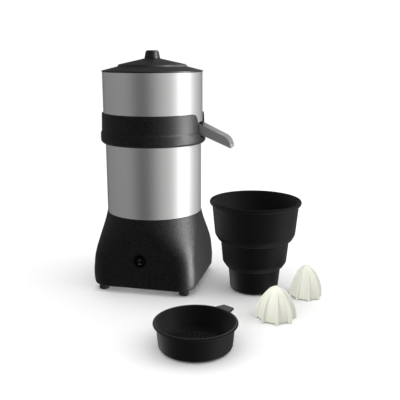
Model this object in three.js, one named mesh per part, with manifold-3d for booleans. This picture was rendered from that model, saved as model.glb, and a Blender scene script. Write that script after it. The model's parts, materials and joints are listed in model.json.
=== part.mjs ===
// Citrus juicer with a motor in its lower drum and a bowl on top, standing with its juice cup,
// strainer and two reamers beside it. Millimetres, +Z up. The bench is z = 0 and the origin is
// the middle of the whole set's footprint. The switch faces -Y and the spout points along +X.
import * as THREE from "three";
import { mergeVertices } from "three/addons/utils/BufferGeometryUtils.js";
import Module from "manifold-3d";

const wasm = await Module();
wasm.setup();

// ---------------------------------------------------------------- driving dimensions
const DRIVE_AXIS = { x: -100, y: 104 }; // where the motor's axis stands in the set's frame
const GAP = 0.35; // clearance kept between touching pieces
const ROUND = 36; // segments of the large round pieces
const SMALL = 16; // segments of shafts, bearings and knobs
const FINE = 10; // segments of screws and small holes

const BASE = { top: 124, lipTop: 131, lip: 2.4, wall: 3, topRadius: 80, cornerRadius: 28, blend: 72 };
const BOSS = { radius: 8.8, bottom: 14.4, top: 36, hole: 2.2, holeTop: 32 };
const FOOT = { spacing: 68.8, radius: 8.2, height: 11.65, well: 4.7, wellTop: 6, bore: 2.4 };
const PLATE = { bottom: 12, thickness: 2, half: 80.5, corner: 22, hole: 2.6 };
const SLOT = { pitch: 18, reach: 32, half: 2.5 };
const JACKET = { radius: 79.2, wall: 1.2, bottom: 124.35, top: 246 };
const DRUM = { radius: 81.65, wall: 1.2, bottom: 249.35, top: 354.4 };
const COLLAR = { bottom: 240, top: 289, shelfTop: 249, shelfRadius: 70, innerRadius: 82.2 };
const DECK = { bottom: 243, top: 246.05, radius: 77.6 };
const LID = { radius: 82.6, bottom: 354.75, plugBottom: 347.5, recess: 374.6, crown: 375.3 };
const KNOB = { radius: 12.9, bottom: 374.95, top: 388.2 };
const SPOUT = { width: 32, sheet: 1.5 };
const OUTLET = { halfWidth: 14.4, bottom: 257, top: 275.4 };
const FLOOR = { radius: 80.1, level: 261.4, sheet: 1.2, slope: 0.06, chimney: 14, chimneyTop: 296 };
const MOTOR = { radius: 58.5, wallInner: 49, stackBottom: 158, stackTop: 206, bore: 32.3 };
const BOLT = { offset: 38, radius: 2.2, clearance: 2.6 };
const DECK_SCREW = { offset: 52.2, radius: 1.9, clearance: 2.4 };
const SHAFT = { radius: 6, bottom: 96, shoulder: 300, top: 322, neck: 5, bore: 0.3 };
const PIN = { height: 306, radius: 1.5, hole: 1.8, reach: 8.8 };
const FAN = { blades: 8, hub: 13, bottom: 101, top: 116, bladeAt: 27, bladeHeight: 108, pitch: 0.6 };
const BEARING = { outer: 15, split: 9.6, width: 10, lower: 127, upper: 228 };
const SWITCH = { height: 57.2, seat: 84, flange: 11, pocket: 11.5, body: 9.6, cavity: 8.9, tilt: 8 };
const GLAND = { height: 30, seat: 87.8, nose: 95.2, bore: 3.8, body: 8, hole: 8.4, flange: 11 };
const NUT = { size: 12, hole: 8.35, thickness: 4.5, seat: 77.6 };
const LEAD = 2.2; // radius of the wires inside the base
const CUP = { x: 174.9, y: -12, height: 152 };
const STRAINER = { x: 131.5, y: -245.8, height: 38, tabAngle: 60.8, screenRadius: 38.1 };
const HOLE = { pitch: 6.5, side: 3.2, field: 35.6 };
const REAMERS = {
  large: { x: 224.5, y: -124.5, radius: 31.2, height: 50, turn: 11, flute: 0.19 },
  small: { x: 261.5, y: -26, radius: 26.5, height: 52.5, turn: 16, flute: 0.16 },
};
const SOCKET = { hub: 10, hubShare: 0.8, bore: 6.4, boreShare: 0.58 };
const PIN_SLOT = { reach: 12, half: 2, top: 7 };

// ---------------------------------------------------------------- materials
const finish = (color, roughness, metalness = 0) =>
  new THREE.MeshStandardMaterial({ color, roughness, metalness });
const MATERIAL = {
  blackPlastic: finish(0x1c1d1d, 0.55),
  steel: finish(0xb9b9b8, 0.32, 1),
  castAluminium: finish(0x9a9c9e, 0.5, 1),
  rubber: finish(0x17181a, 0.85),
  lamination: finish(0x55585c, 0.6, 1),
  copper: finish(0xa8642f, 0.45, 1),
  ivory: finish(0xe6e5d6, 0.4),
  greyPlastic: finish(0x6f7275, 0.6),
  switchBlack: finish(0x09080b, 0.3),
};

// ---------------------------------------------------------------- shape helpers
const solid = (geometry) => {
  const plain = geometry.index ? geometry.toNonIndexed() : geometry.clone();
  const position = new THREE.BufferGeometry();
  position.setAttribute("position", plain.getAttribute("position"));
  const merged = mergeVertices(position, 1e-3);
  return new wasm.Manifold(
    new wasm.Mesh({
      numProp: 3,
      vertProperties: merged.attributes.position.array,
      triVerts: new Uint32Array(merged.index.array),
    }),
  );
};

const geometryOf = (manifold) => {
  const mesh = manifold.getMesh();
  const geometry = new THREE.BufferGeometry();
  geometry.setAttribute("position", new THREE.BufferAttribute(mesh.vertProperties, 3));
  geometry.setIndex(new THREE.BufferAttribute(mesh.triVerts, 1));
  return geometry;
};

const cut = (geometry, ...tools) =>
  geometryOf(tools.reduce((body, tool) => body.subtract(solid(tool)), solid(geometry)));
const join = (geometry, ...others) =>
  geometryOf(others.reduce((body, other) => body.add(solid(other)), solid(geometry)));

// Turns a profile of [radius, height] points about +Z. Profiles run anticlockwise.
const turned = (profile, segments = ROUND, closed = true) => {
  const points = profile.map(([radius, height]) => new THREE.Vector2(radius, height));
  if (closed) points.push(points[0].clone());
  return new THREE.LatheGeometry(points, segments).rotateX(Math.PI / 2);
};

// A ring from inner to outer radius between two heights.
const ring = (inner, outer, bottom, top, segments = SMALL) =>
  turned([[inner, bottom], [outer, bottom], [outer, top], [inner, top]], segments);

// An upright cylinder between two heights.
const rod = (radius, bottom, top, segments = FINE) =>
  new THREE.CylinderGeometry(radius, radius, top - bottom, segments)
    .rotateX(Math.PI / 2)
    .translate(0, 0, (bottom + top) / 2);

const block = (x0, x1, y0, y1, z0, z1) =>
  new THREE.BoxGeometry(x1 - x0, y1 - y0, z1 - z0)
    .translate((x0 + x1) / 2, (y0 + y1) / 2, (z0 + z1) / 2);

const polygon = (points) => new THREE.Shape(points.map(([x, y]) => new THREE.Vector2(x, y)));
const extruded = (shape, depth) => new THREE.ExtrudeGeometry(shape, { depth, bevelEnabled: false });

// A square outline with rounded corners. Where half equals radius it is a circle.
const roundedSquare = (half, radius, perCorner) => {
  const points = [];
  for (let i = 0; i < 4 * perCorner; i += 1) {
    const angle = ((i + 0.5) / perCorner) * (Math.PI / 2);
    const quarter = Math.floor(i / perCorner) * (Math.PI / 2) + Math.PI / 4;
    const inset = (half - radius) * Math.SQRT2;
    points.push([
      inset * Math.cos(quarter) + radius * Math.cos(angle),
      inset * Math.sin(quarter) + radius * Math.sin(angle),
    ]);
  }
  return points;
};

// Skins a loop of rings, each an array of [x, y, z], the last joined to the first.
const skinned = (rings) => {
  const count = rings[0].length;
  const index = [];
  rings.forEach((_, r) => {
    const next = (r + 1) % rings.length;
    for (let i = 0; i < count; i += 1) {
      const j = (i + 1) % count;
      const [a, b] = [r * count + i, r * count + j];
      const [c, d] = [next * count + i, next * count + j];
      index.push(a, b, d, a, d, c);
    }
  });
  const geometry = new THREE.BufferGeometry();
  geometry.setAttribute("position", new THREE.Float32BufferAttribute(rings.flat(2), 3));
  geometry.setIndex(index);
  return geometry;
};

const tube = (points, radius, steps) => {
  const extrudePath = new THREE.CatmullRomCurve3(points.map((p) => new THREE.Vector3(...p)));
  const section = new THREE.Shape();
  section.absarc(0, 0, radius, 0, Math.PI * 2);
  const options = { steps, curveSegments: 3, extrudePath, bevelEnabled: false };
  return new THREE.ExtrudeGeometry(section, options);
};

// A screw or bolt profile. The head runs from face to seat, and the shank from seat to the tip.
const screwProfile = ({ head, shank, face, seat, tip }) => {
  const end = tip - Math.sign(tip - seat);
  const profile = [[0, face], [head, face], [head, seat], [shank, seat], [shank, end], [0, tip]];
  return tip > seat ? profile : profile.reverse();
};

const set = new THREE.Group();
set.position.set(DRIVE_AXIS.x, DRIVE_AXIS.y, 0);
const juicer = new THREE.Group();
set.add(juicer);
const add = (name, geometry, material, parent = juicer) => {
  const mesh = new THREE.Mesh(geometry, material);
  mesh.name = name;
  parent.add(mesh);
  return mesh;
};
const CORNERS = [
  ["front_left", -1, -1],
  ["front_right", 1, -1],
  ["rear_left", -1, 1],
  ["rear_right", 1, 1],
];
const atCorners = (offset, make) =>
  CORNERS.map(([, sx, sy]) => make().translate(sx * offset, sy * offset, 0));
const addAtCorners = (prefix, offset, material, make) => {
  for (const [corner, sx, sy] of CORNERS) {
    add(`${prefix}_${corner}`, make().translate(sx * offset, sy * offset, 0), material);
  }
};

// ---------------------------------------------------------------- base, plate and feet
// Half width of the base at each height: nearly straight sides that tuck in at the bottom.
const BASE_SIDE = [
  [10, 84.6],
  [13.5, 86.6],
  [32, 87.4],
  [50, 85.9],
  [74, 84.1],
  [100, 82.8],
  [124, 80],
];
const cornerAt = (height) => {
  const t = THREE.MathUtils.clamp((BASE.top - height) / BASE.blend, 0, 1);
  return THREE.MathUtils.lerp(BASE.topRadius, BASE.cornerRadius, t * t * (3 - 2 * t));
};
const baseRing = (half, corner, height) =>
  roundedSquare(half, Math.min(corner, half), ROUND / 4).map(([x, y]) => [x, y, height]);

function baseShell() {
  const outside = BASE_SIDE.map(([height, half]) => baseRing(half, cornerAt(height), height));
  const seat = JACKET.radius - JACKET.wall - GAP;
  const lip = [
    baseRing(seat, seat, BASE.top),
    baseRing(seat, seat, BASE.lipTop),
    baseRing(seat - BASE.lip, seat - BASE.lip, BASE.lipTop),
  ];
  const inside = [5, 3, 2, 0].map((i) => {
    const [height, half] = BASE_SIDE[i];
    return baseRing(half - BASE.wall, cornerAt(height) - BASE.wall, height);
  });
  const shoulder = baseRing(seat - BASE.lip, seat - BASE.lip, BASE.top - BASE.wall);
  const shell = skinned([...outside, ...lip, shoulder, ...inside]);
  const bosses = atCorners(FOOT.spacing, () => rod(BOSS.radius, BOSS.bottom, BOSS.top, 8));
  const screwHoles = atCorners(FOOT.spacing, () => rod(BOSS.hole, BOSS.bottom - 1, BOSS.holeTop, 8));
  const along = (geometry, height) => geometry.rotateX(Math.PI / 2).translate(0, 0, height);
  const switchHole = along(rod(SWITCH.body + GAP, 70, 95, SMALL), SWITCH.height);
  const switchPocket = along(rod(SWITCH.pocket, SWITCH.seat, 95, 24), SWITCH.height);
  const glandHole = along(rod(GLAND.hole, -95, -70, SMALL), GLAND.height);
  return cut(join(shell, ...bosses), ...screwHoles, switchHole, switchPocket, glandHole);
}
add("base_shell", baseShell(), MATERIAL.blackPlastic);

function bottomPlate() {
  const outline = polygon(roundedSquare(PLATE.half, PLATE.corner, 6));
  const [under, over] = [PLATE.bottom - 1, PLATE.bottom + PLATE.thickness + 1];
  const plate = extruded(outline, PLATE.thickness).translate(0, 0, PLATE.bottom);
  const holes = atCorners(FOOT.spacing, () => rod(PLATE.hole, under, over));
  const slots = [-2.5, -1.5, -0.5, 0.5, 1.5, 2.5].map((place) => {
    const y = place * SLOT.pitch;
    return block(-SLOT.reach, SLOT.reach, y - SLOT.half, y + SLOT.half, under, over);
  });
  return cut(plate, ...holes, ...slots);
}
add("bottom_plate", bottomPlate(), MATERIAL.steel);

const footProfile = [
  [FOOT.well, 0],
  [FOOT.radius - 0.8, 0],
  [FOOT.radius, 1.5],
  [FOOT.radius - 0.4, 9],
  [7, FOOT.height],
  [FOOT.bore, FOOT.height],
  [FOOT.bore, FOOT.wellTop],
  [FOOT.well, FOOT.wellTop],
];
const footScrew = screwProfile({ head: 4, shank: 1.7, face: 3.2, seat: 5.7, tip: 30 });
addAtCorners("foot", FOOT.spacing, MATERIAL.rubber, () => turned(footProfile, 14));
addAtCorners("foot_screw", FOOT.spacing, MATERIAL.steel, () => turned(footScrew, FINE, false));

// ---------------------------------------------------------------- motor drum, collar and deck
const jacketInside = JACKET.radius - JACKET.wall;
const jacket = ring(jacketInside, JACKET.radius, JACKET.bottom, JACKET.top, ROUND);
add("motor_jacket", jacket, MATERIAL.steel);

const deckScrewHoles = () =>
  atCorners(DECK_SCREW.offset, () => rod(DECK_SCREW.clearance, COLLAR.bottom, 255, 8));

// The collar holds the bowl. A notch in its right side lets the spout through.
function collarRing() {
  const socket = JACKET.radius + GAP;
  const body = turned([
    [socket, COLLAR.bottom],
    [83.5, COLLAR.bottom],
    [86.4, 243],
    [86.9, 250],
    [86.4, 256.5],
    [84.9, 261],
    [84.2, 287.6],
    [83.2, COLLAR.top],
    [COLLAR.innerRadius, COLLAR.top],
    [COLLAR.innerRadius, COLLAR.shelfTop],
    [COLLAR.shelfRadius, COLLAR.shelfTop],
    [COLLAR.shelfRadius, JACKET.top + GAP],
    [socket, JACKET.top + GAP],
  ]);
  const side = new THREE.QuadraticBezierCurve(
    new THREE.Vector2(23.4, 279),
    new THREE.Vector2(26.6, 288.6),
    new THREE.Vector2(35, 289.2),
  ).getPoints(5);
  const foot = [[17, 250.6], [18.4, 263], [21, 273]].map(([y, z]) => new THREE.Vector2(y, z));
  const right = [...foot, ...side, new THREE.Vector2(35, 300)];
  const left = right.map((p) => new THREE.Vector2(-p.x, p.y)).reverse();
  const notch = extruded(new THREE.Shape([...right, ...left]), 40)
    .rotateX(Math.PI / 2)
    .rotateZ(Math.PI / 2)
    .translate(60, 0, 0);
  return cut(body, notch, ...deckScrewHoles());
}
add("collar_ring", collarRing(), MATERIAL.blackPlastic);

const boltHoles = (bottom, top) =>
  atCorners(BOLT.offset, () => rod(BOLT.clearance, bottom, top, 8));
const deckDisc = ring(BEARING.outer + GAP, DECK.radius, DECK.bottom, DECK.top, 32);
add("deck_plate", cut(deckDisc, ...boltHoles(240, 250), ...deckScrewHoles()), MATERIAL.castAluminium);
const deckScrew = screwProfile({
  head: 3.6,
  shank: DECK_SCREW.radius,
  face: 251.6,
  seat: COLLAR.shelfTop + GAP,
  tip: 236,
});
addAtCorners("deck_screw", DECK_SCREW.offset, MATERIAL.steel, () => turned(deckScrew, FINE, false));

// ---------------------------------------------------------------- motor
add(
  "stator_core",
  cut(ring(MOTOR.bore, MOTOR.radius, MOTOR.stackBottom, MOTOR.stackTop, 24), ...boltHoles(150, 215)),
  MATERIAL.lamination,
);
const windingProfile = (bottom, top) => [
  [34, bottom],
  [46, bottom],
  [46.5, (bottom + top) / 2],
  [43, top],
  [36.5, top],
];
add("upper_winding", turned(windingProfile(206.4, 221), 20), MATERIAL.copper);
add("lower_winding", turned(windingProfile(143, 157.6), 20), MATERIAL.copper);

const bell = (rim, crown, face, hub) => {
  const profile = [
    [BEARING.outer + GAP, hub],
    [20, hub],
    [20, crown],
    [MOTOR.wallInner, crown],
    [MOTOR.wallInner, rim],
    [MOTOR.radius, rim],
    [MOTOR.radius, face],
    [BEARING.outer + GAP, face],
  ];
  return face > rim ? profile : profile.reverse();
};
const upperBell = turned(bell(206.4, 239, 242.65, 226), 24);
const lowerBell = turned(bell(157.6, 126, 122, 138), 24);
add("upper_end_bell", cut(upperBell, ...boltHoles(200, 250)), MATERIAL.castAluminium);
add("lower_end_bell", cut(lowerBell, ...boltHoles(110, 160)), MATERIAL.castAluminium);
const motorBolt = screwProfile({
  head: 4,
  shank: BOLT.radius,
  face: 249.4,
  seat: DECK.top + GAP,
  tip: 119,
});
addAtCorners("motor_bolt", BOLT.offset, MATERIAL.steel, () => turned(motorBolt, FINE, false));
for (const level of ["lower", "upper"]) {
  const bottom = BEARING[level];
  const top = bottom + BEARING.width;
  const outer = ring(BEARING.split + 0.4, BEARING.outer, bottom, top);
  const inner = ring(SHAFT.radius + SHAFT.bore, BEARING.split, bottom, top);
  add(`${level}_bearing_outer`, outer, MATERIAL.steel);
  add(`${level}_bearing_inner`, inner, MATERIAL.steel);
}
const sealProfile = [
  [7.6, 243.1],
  [BEARING.outer, 243.1],
  [BEARING.outer, 250],
  [9, 250],
  [SHAFT.radius + SHAFT.bore, 247.5],
];
add("shaft_seal", turned(sealProfile, SMALL), MATERIAL.rubber);

// ---------------------------------------------------------------- rotor and drive
const crossRod = (radius, reach) =>
  rod(radius, -reach, reach).rotateY(Math.PI / 2).translate(0, 0, PIN.height);
const onShaft = (radius, bottom, top, segments) =>
  ring(SHAFT.radius + SHAFT.bore, radius, bottom, top, segments);
function motorShaft() {
  const profile = [
    [0, SHAFT.bottom],
    [SHAFT.radius, SHAFT.bottom + 1],
    [SHAFT.radius, SHAFT.shoulder],
    [SHAFT.neck, SHAFT.shoulder + 1],
    [SHAFT.neck, SHAFT.top - 1.5],
    [SHAFT.neck - 1.5, SHAFT.top],
    [0, SHAFT.top],
  ];
  return cut(turned(profile, SMALL, false), crossRod(PIN.hole, SHAFT.radius + 4));
}
add("motor_shaft", motorShaft(), MATERIAL.steel);
const rotorCore = onShaft(MOTOR.bore - 0.8, MOTOR.stackBottom + 1, MOTOR.stackTop - 1, 24);
add("rotor_core", rotorCore, MATERIAL.lamination);
add("drive_pin", crossRod(PIN.radius, PIN.reach), MATERIAL.steel);
add("slinger_ring", onShaft(11.5, 250.6, 252.8), MATERIAL.rubber);

function coolingFan() {
  const blades = [];
  for (let i = 0; i < FAN.blades; i += 1) {
    blades.push(
      new THREE.BoxGeometry(36, 2, 12)
        .rotateX(FAN.pitch)
        .translate(FAN.bladeAt, 0, FAN.bladeHeight)
        .rotateZ((i / FAN.blades) * Math.PI * 2),
    );
  }
  return join(onShaft(FAN.hub, FAN.bottom, FAN.top), ...blades);
}
add("cooling_fan", coolingFan(), MATERIAL.greyPlastic);

// ---------------------------------------------------------------- electrical pieces
const facingFront = (geometry) => geometry.rotateX(Math.PI / 2).translate(0, 0, SWITCH.height);
function switchBody() {
  const profile = [
    [0, 62],
    [SWITCH.body, 62],
    [SWITCH.body, SWITCH.seat + 0.3],
    [SWITCH.flange, SWITCH.seat + 0.3],
    [SWITCH.flange, 85.8],
    [SWITCH.flange - 0.8, 86.8],
    [SWITCH.cavity + 0.4, 86.8],
    [SWITCH.cavity, 86.2],
    [SWITCH.cavity, 76],
    [0, 76],
  ];
  return facingFront(turned(profile, 24, false));
}
add("switch_body", switchBody(), MATERIAL.switchBlack);

// The rocker's face is two flats that meet on the pivot line. It rests with its lower half pressed.
function switchRocker() {
  const radius = SWITCH.cavity - 0.8;
  const rise = Math.tan(THREE.MathUtils.degToRad(SWITCH.tilt)) * radius;
  const edge = 1.2 + rise;
  const side = polygon([[-7, -4], [7, -4], [radius + 1, edge], [0, 1.2], [-radius - 1, edge]]);
  const wedge = extruded(side, 2 * radius + 4)
    .translate(0, 0, -radius - 2)
    .rotateY(Math.PI / 2);
  const round = new THREE.CylinderGeometry(radius, radius - 2, 8, 24);
  const body = solid(wedge).intersect(solid(round));
  return geometryOf(body)
    .rotateX(Math.PI)
    .rotateX(THREE.MathUtils.degToRad(SWITCH.tilt))
    .translate(0, -84.6, SWITCH.height);
}
add("switch_rocker", switchRocker(), MATERIAL.switchBlack);

function cordGland() {
  const profile = [
    [GLAND.bore, 76],
    [GLAND.body, 76],
    [GLAND.body, GLAND.seat],
    [GLAND.flange, GLAND.seat],
    [GLAND.flange, GLAND.seat + 2],
    [8.6, GLAND.seat + 2.8],
    [6.4, GLAND.nose],
    [GLAND.bore, GLAND.nose],
  ];
  return turned(profile, SMALL).rotateX(-Math.PI / 2).translate(0, 0, GLAND.height);
}
add("cord_gland", cordGland(), MATERIAL.rubber);

function glandNut() {
  const nut = cut(rod(NUT.size, 0, NUT.thickness, 6), rod(NUT.hole, -1, NUT.thickness + 1, SMALL));
  return nut.rotateX(-Math.PI / 2).translate(0, NUT.seat, GLAND.height);
}
add("gland_nut", glandNut(), MATERIAL.greyPlastic);

const canProfile = [[0, 15], [16.5, 15], [17, 16], [17, 68], [15.5, 70], [0, 70]];
add("run_capacitor", turned(canProfile, SMALL, false).translate(-48, 22, 0), MATERIAL.greyPlastic);
const blockBody = block(24, 64, 22, 40, 14.4, 28);
const blockSlots = [32, 44, 56].map((x) => block(x - 3.5, x + 3.5, 20, 42, 23, 30));
add("terminal_block", cut(blockBody, ...blockSlots), MATERIAL.ivory);
const switchLead = [
  [0, -61, 57],
  [1, -50, 56],
  [20, -22, 42],
  [31, 4, 21],
  [32, 21.4, 20.5],
];
add("switch_lead", tube(switchLead, LEAD, 10), MATERIAL.rubber);
const motorLead = [
  [56, 40.7, 20.5],
  [57, 50, 22],
  [62, 56, 60],
  [60, 52, 100],
  [46.5, 42.5, 118],
  [45.5, 41, 140],
];
add("motor_lead", tube(motorLead, LEAD, 12), MATERIAL.rubber);

// ---------------------------------------------------------------- bowl, spout and lid
const outlet = () =>
  block(66, 92, -OUTLET.halfWidth, OUTLET.halfWidth, OUTLET.bottom, OUTLET.top);
const drum = ring(DRUM.radius - DRUM.wall, DRUM.radius, DRUM.bottom, DRUM.top, ROUND);
add("bowl_wall", cut(drum, outlet()), MATERIAL.steel);

// The floor is a dish that falls towards the spout, with a chimney round the shaft.
function bowlFloor() {
  const { radius, level, sheet, chimney, chimneyTop, slope } = FLOOR;
  const mouth = PIN.reach + 0.8;
  const dish = turned([
    [mouth, chimneyTop - sheet],
    [chimney - sheet, chimneyTop - sheet],
    [chimney - sheet, level - sheet],
    [radius - 3, level - sheet],
    [radius, level + 1.5],
    [radius, level + 6],
    [radius - sheet, level + 6],
    [radius - 3.6, level],
    [chimney + 2, level],
    [chimney, level + 2],
    [chimney, chimneyTop],
    [mouth, chimneyTop],
  ]);
  const position = dish.getAttribute("position");
  for (let i = 0; i < position.count; i += 1) {
    position.setZ(i, position.getZ(i) - slope * position.getX(i));
  }
  return cut(dish, outlet());
}
add("bowl_floor", bowlFloor(), MATERIAL.steel);

// A folded channel. Its sides and floor fall at about 24 degrees, and the side ends are rounded.
function spoutChannel() {
  const tip = new THREE.QuadraticBezierCurve(
    new THREE.Vector2(133, 238.5),
    new THREE.Vector2(132.4, 249),
    new THREE.Vector2(122.6, 253.7),
  ).getPoints(5);
  const side = new THREE.Shape([
    new THREE.Vector2(74, 259),
    new THREE.Vector2(131.8, 234.9),
    ...tip,
    new THREE.Vector2(74, 276.8),
  ]);
  const bend = SPOUT.sheet * 1.1;
  const hollow = polygon([[70, 260.7 + bend], [150, 227.3 + bend], [150, 300], [70, 300]]);
  const upright = (shape, width) =>
    extruded(shape, width).rotateX(Math.PI / 2).translate(0, width / 2, 0);
  const lipSide = polygon([[128, 236.5], [133.4, 234], [133.8, 235.4], [128, 238]]);
  const lip = upright(lipSide, SPOUT.width - 4);
  const channel = cut(upright(side, SPOUT.width), upright(hollow, SPOUT.width - 2 * SPOUT.sheet));
  return cut(join(channel, lip), rod(DRUM.radius + GAP, 220, 300, 96));
}
add("spout", spoutChannel(), MATERIAL.steel);

// A stepped cone with a plug that drops into the bowl and a shallow recess under the knob.
function lidShell() {
  return turned([
    [2.4, 372.4],
    [12, 372],
    [52, 362.4],
    [77.4, 355.4],
    [77.4, LID.plugBottom],
    [79.6, LID.plugBottom],
    [79.6, LID.bottom],
    [LID.radius, LID.bottom],
    [LID.radius, 356.2],
    [56.4, 363],
    [54.6, 366],
    [14.6, 375],
    [KNOB.radius + GAP, LID.crown],
    [KNOB.radius + GAP, LID.recess],
    [2.4, LID.recess],
  ]);
}
add("lid", lidShell(), MATERIAL.blackPlastic);
const knobProfile = [
  [0, 385],
  [1.9, 385],
  [1.9, KNOB.bottom],
  [KNOB.radius - 0.1, KNOB.bottom],
  [KNOB.radius, 376.2],
  [11.7, 381],
  [10.8, 385.6],
  [8.8, 387.7],
  [0, KNOB.top],
];
add("lid_knob", turned(knobProfile, 24, false), MATERIAL.blackPlastic);
const knobScrew = screwProfile({ head: 3.8, shank: 1.55, face: 369.6, seat: 371.9, tip: 384 });
add("knob_screw", turned(knobScrew, FINE, false), MATERIAL.steel);

// ---------------------------------------------------------------- juice cup
// Three stacked tiers, each rounded in at its foot, under a rolled rim.
const cupProfile = [
  [0, 0],
  [31, 0],
  [38, 4],
  [40.4, 13],
  [42.8, 40],
  [49.5, 44],
  [53, 56],
  [55.8, 86],
  [62.4, 90.6],
  [66, 102],
  [70.2, 145.5],
  [73.6, 146.4],
  [74.5, 149],
  [71.6, CUP.height],
  [69, 150.6],
  [63.6, 103],
  [60.6, 93.4],
  [53.6, 88.6],
  [50.6, 57],
  [47.4, 46.6],
  [40.6, 42.6],
  [38, 14],
  [29.8, 2.6],
  [0, 2.6],
];
const cup = turned(cupProfile, ROUND, false).translate(CUP.x, CUP.y, 0);
add("juice_cup", cup, MATERIAL.blackPlastic);

// ---------------------------------------------------------------- strainer
const strainer = new THREE.Group();
strainer.position.set(STRAINER.x, STRAINER.y, 0);
strainer.rotation.z = THREE.MathUtils.degToRad(STRAINER.tabAngle);
juicer.add(strainer);
function strainerBasket() {
  const basket = turned([
    [STRAINER.screenRadius + 0.3, 0],
    [43, 0],
    [49.4, 3],
    [51.4, 10],
    [52.8, 33.6],
    [56.8, 34.2],
    [57.4, 36.2],
    [55, STRAINER.height],
    [52.4, 36.8],
    [48.8, 9],
    [42.4, 2.4],
    [STRAINER.screenRadius + 0.3, 2.4],
  ]);
  const tab = polygon([[54.5, -13], [69.5, -9], [69.5, 9], [54.5, 13]]);
  return join(basket, extruded(tab, 3).translate(0, 0, 34.4));
}
add("strainer_basket", strainerBasket(), MATERIAL.blackPlastic, strainer);

function strainerScreen() {
  const holes = [];
  const reach = Math.floor(HOLE.field / HOLE.pitch);
  const half = HOLE.side / 2;
  for (let i = -reach; i <= reach; i += 1) {
    for (let j = -reach; j <= reach; j += 1) {
      const [x, y] = [i * HOLE.pitch, j * HOLE.pitch];
      if (Math.hypot(x, y) > HOLE.field) continue;
      holes.push(block(x - half, x + half, y - half, y + half, -1, 4));
    }
  }
  return cut(rod(STRAINER.screenRadius, 0.4, 2.2, 28), ...holes)
    .rotateZ(THREE.MathUtils.degToRad(-STRAINER.tabAngle));
}
add("strainer_screen", strainerScreen(), MATERIAL.blackPlastic, strainer);

// ---------------------------------------------------------------- reamers
// Eight narrow ridges with wide hollow flutes between them on a pointed dome.
const RIDGES = 8;
const FLUTE_SECTION = [0, 0.37, 0.76, 0.92, 1, 0.92, 0.76, 0.37]; // share of the flute's depth
const domeRadius = (share) => (1 - (1 - share) ** 2) ** 0.65;

// Levels run from the apex at 0 down to the foot at 1.
function dome(radius, height, section, levels) {
  const count = RIDGES * section.length;
  const positions = [];
  const index = [];
  levels.forEach((share) => {
    for (let i = 0; i < count; i += 1) {
      const reach = radius * domeRadius(share) * section[i % section.length];
      const angle = (i / count) * Math.PI * 2;
      positions.push(reach * Math.cos(angle), reach * Math.sin(angle), height * (1 - share));
    }
  });
  const [apex, foot] = [levels.length * count, levels.length * count + 1];
  positions.push(0, 0, height, 0, 0, 0);
  for (let i = 0; i < count; i += 1) {
    const j = (i + 1) % count;
    index.push(apex, i, j, foot, (levels.length - 1) * count + j, (levels.length - 1) * count + i);
    for (let r = 0; r + 1 < levels.length; r += 1) {
      const [a, b] = [r * count + i, r * count + j];
      index.push(a, a + count, b + count, a, b + count, b);
    }
  }
  const geometry = new THREE.BufferGeometry();
  geometry.setAttribute("position", new THREE.Float32BufferAttribute(positions, 3));
  geometry.setIndex(index);
  return geometry;
}

function reamer({ radius, height, turn, flute }) {
  const ridged = FLUTE_SECTION.map((share) => 1 - flute * share);
  const inside = SOCKET.hubShare * (1 - flute);
  const outside = dome(radius, height, ridged, [0.04, 0.14, 0.3, 0.5, 0.74, 1]);
  const hollow = dome(radius * inside, height * SOCKET.hubShare, [1, 1, 1], [0.2, 0.6, 1])
    .translate(0, 0, -0.01);
  const hub = rod(SOCKET.hub, 0, height * SOCKET.hubShare, SMALL);
  const bore = rod(SOCKET.bore, -1, height * SOCKET.boreShare, SMALL);
  const { reach, half, top } = PIN_SLOT;
  const pinSlot = block(-reach, reach, -half, half, -1, top);
  return cut(join(cut(outside, hollow), hub), bore, pinSlot)
    .rotateZ(THREE.MathUtils.degToRad(turn));
}
for (const [size, facts] of Object.entries(REAMERS)) {
  add(`reamer_${size}`, reamer(facts).translate(facts.x, facts.y, 0), MATERIAL.ivory);
}

export default set;
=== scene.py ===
import json
import math

import bmesh
import bpy
import numpy as np
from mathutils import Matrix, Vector


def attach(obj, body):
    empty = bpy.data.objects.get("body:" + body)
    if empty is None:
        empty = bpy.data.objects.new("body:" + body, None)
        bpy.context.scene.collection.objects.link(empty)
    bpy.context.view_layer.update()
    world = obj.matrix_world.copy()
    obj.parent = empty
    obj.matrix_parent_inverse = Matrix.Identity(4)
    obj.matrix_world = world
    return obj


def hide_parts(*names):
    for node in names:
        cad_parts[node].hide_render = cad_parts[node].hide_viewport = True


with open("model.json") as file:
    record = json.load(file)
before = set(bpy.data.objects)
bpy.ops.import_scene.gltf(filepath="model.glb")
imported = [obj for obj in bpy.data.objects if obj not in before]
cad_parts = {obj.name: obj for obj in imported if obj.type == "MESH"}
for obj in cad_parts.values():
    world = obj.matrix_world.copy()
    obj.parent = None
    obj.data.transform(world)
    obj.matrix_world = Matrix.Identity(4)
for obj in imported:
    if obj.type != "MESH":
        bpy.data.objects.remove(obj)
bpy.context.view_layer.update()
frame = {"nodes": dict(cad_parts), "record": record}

MM = 0.001
AXIS = (-100.0, 104.0)  # where the motor's axis, the cup and the strainer stand in the row frame, mm
CUP = (74.9, 92.0)
STRAINER = (31.5, -141.8)


def placed(name, data):
    """A new object that holds this data, linked into the scene."""
    obj = bpy.data.objects.new(name, data)
    bpy.context.scene.collection.objects.link(obj)
    return obj


# ---------------------------------------------------------------- camera
HEADING = math.radians(13.3)  # turned left of +Y
PITCH = math.radians(13.12)  # looking down
camera_data = bpy.data.cameras.new("camera")
camera_data.sensor_width = 36.0
camera_data.lens = 56.55
camera_data.clip_start = 0.01
camera_data.clip_end = 100.0
camera = placed("camera", camera_data)
camera.location = (0.2156, -0.8947, 0.3828)
look = Vector((-math.sin(HEADING) * math.cos(PITCH), math.cos(HEADING) * math.cos(PITCH),
               -math.sin(PITCH)))
camera.rotation_euler = look.to_track_quat("-Z", "Y").to_euler()
bpy.context.scene.camera = camera


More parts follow.
